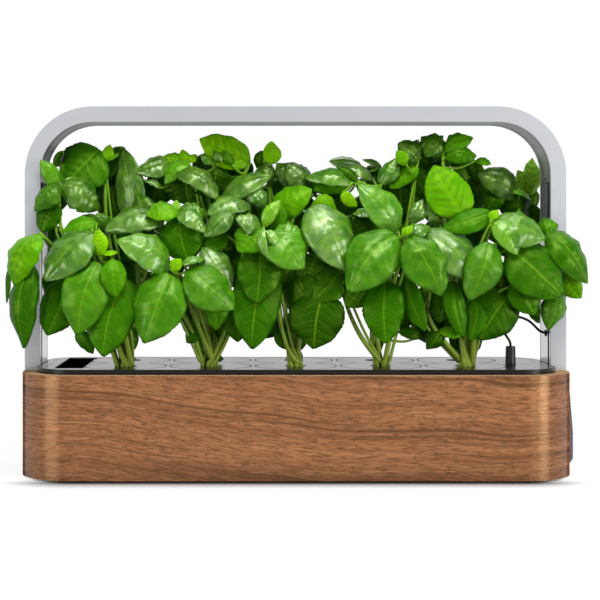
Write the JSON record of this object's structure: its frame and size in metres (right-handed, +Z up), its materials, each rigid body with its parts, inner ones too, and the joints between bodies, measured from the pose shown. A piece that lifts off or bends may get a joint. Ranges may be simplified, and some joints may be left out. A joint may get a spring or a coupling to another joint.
{
  "type": "countertop hydroponic garden",
  "caption": "Wood-sleeved water tank with a black pod deck, basil plants in the front pods and a grey light arch that lifts off.",
  "frame": {"origin": "centre of the base on the surface that it stands on", "axes": "+Z up, +X to the right along the arch, -Y towards the front"},
  "size_m": [0.4573, 0.146, 0.292],
  "materials": {
    "walnut_veneer": "satin oiled veneer",
    "black_plastic": "satin moulded",
    "rubber": "matt",
    "steel": "plain",
    "grow_medium": "open sponge",
    "leaf_green": "soft sheen",
    "satin_aluminium": "bead blasted",
    "diffuser": "frosted",
    "circuit_board": "solder mask",
    "led": "phosphor",
    "grey_plastic": "satin",
    "white_plastic": "moulded"
  },
  "bodies": {
    "base": {"wood_sleeve": "walnut_veneer", "bottom_cover": "black_plastic", "rubber_feet": "rubber", "bottom_screws": "steel", "water_tank": "black_plastic", "deck_seal": "rubber", "deck": "black_plastic", "leg_bezel_left": "black_plastic", "leg_bezel_right": "black_plastic", "leg_socket_left": "black_plastic", "leg_socket_right": "black_plastic", "pod_front_1": "black_plastic", "pod_front_2": "black_plastic", "pod_front_3": "black_plastic", "pod_front_4": "black_plastic", "pod_front_5": "black_plastic", "pod_back_1": "black_plastic", "pod_back_2": "black_plastic", "pod_back_3": "black_plastic", "pod_back_4": "black_plastic", "pod_back_5": "black_plastic", "grow_plug_1": "grow_medium", "grow_plug_2": "grow_medium", "grow_plug_3": "grow_medium", "grow_plug_4": "grow_medium", "grow_plug_5": "grow_medium", "spare_grow_plugs": "grow_medium", "basil_plant_1": "leaf_green", "basil_plant_2": "leaf_green", "basil_plant_3": "leaf_green", "basil_plant_4": "leaf_green", "basil_plant_5": "leaf_green", "lead_socket": "black_plastic", "control_board": "circuit_board", "board_screws": "steel", "inner_cables": "rubber", "power_jack": "black_plastic", "jack_nut": "steel", "paddle_pin": "steel", "paddle_bezel": "black_plastic", "push_switch": "black_plastic", "level_stem": "steel", "float_clip": "steel"},
    "arch": {"arch_frame": "satin_aluminium", "arch_liner_left": "satin_aluminium", "arch_liner_right": "satin_aluminium", "arch_tongue_left": "steel", "arch_tongue_right": "steel", "tongue_screws": "steel", "light_diffuser": "diffuser", "led_board": "circuit_board", "led_chips": "led", "led_wire": "rubber", "lead_grommet": "rubber", "light_lead": "rubber", "lead_plug": "black_plastic"},
    "paddle": {"side_paddle": "grey_plastic", "switch_plunger": "white_plastic"},
    "float": {"level_float": "white_plastic"}
  },
  "joints": [
    {"name": "arch_lift", "type": "slide", "parent": "base", "child": "arch", "axis": [0, 0, 1], "range_m": [0, 0.235]},
    {"name": "paddle_press", "type": "hinge", "parent": "base", "child": "paddle", "pos_m": [0.2174, 0, 0.066], "axis": [0, 1, 0], "range_deg": [0, 1.5], "stiffness_Nm_per_rad": 0.6},
    {"name": "float_rise", "type": "slide", "parent": "base", "child": "float", "axis": [0, 0, 1], "range_m": [0, 0.03]}
  ]
}
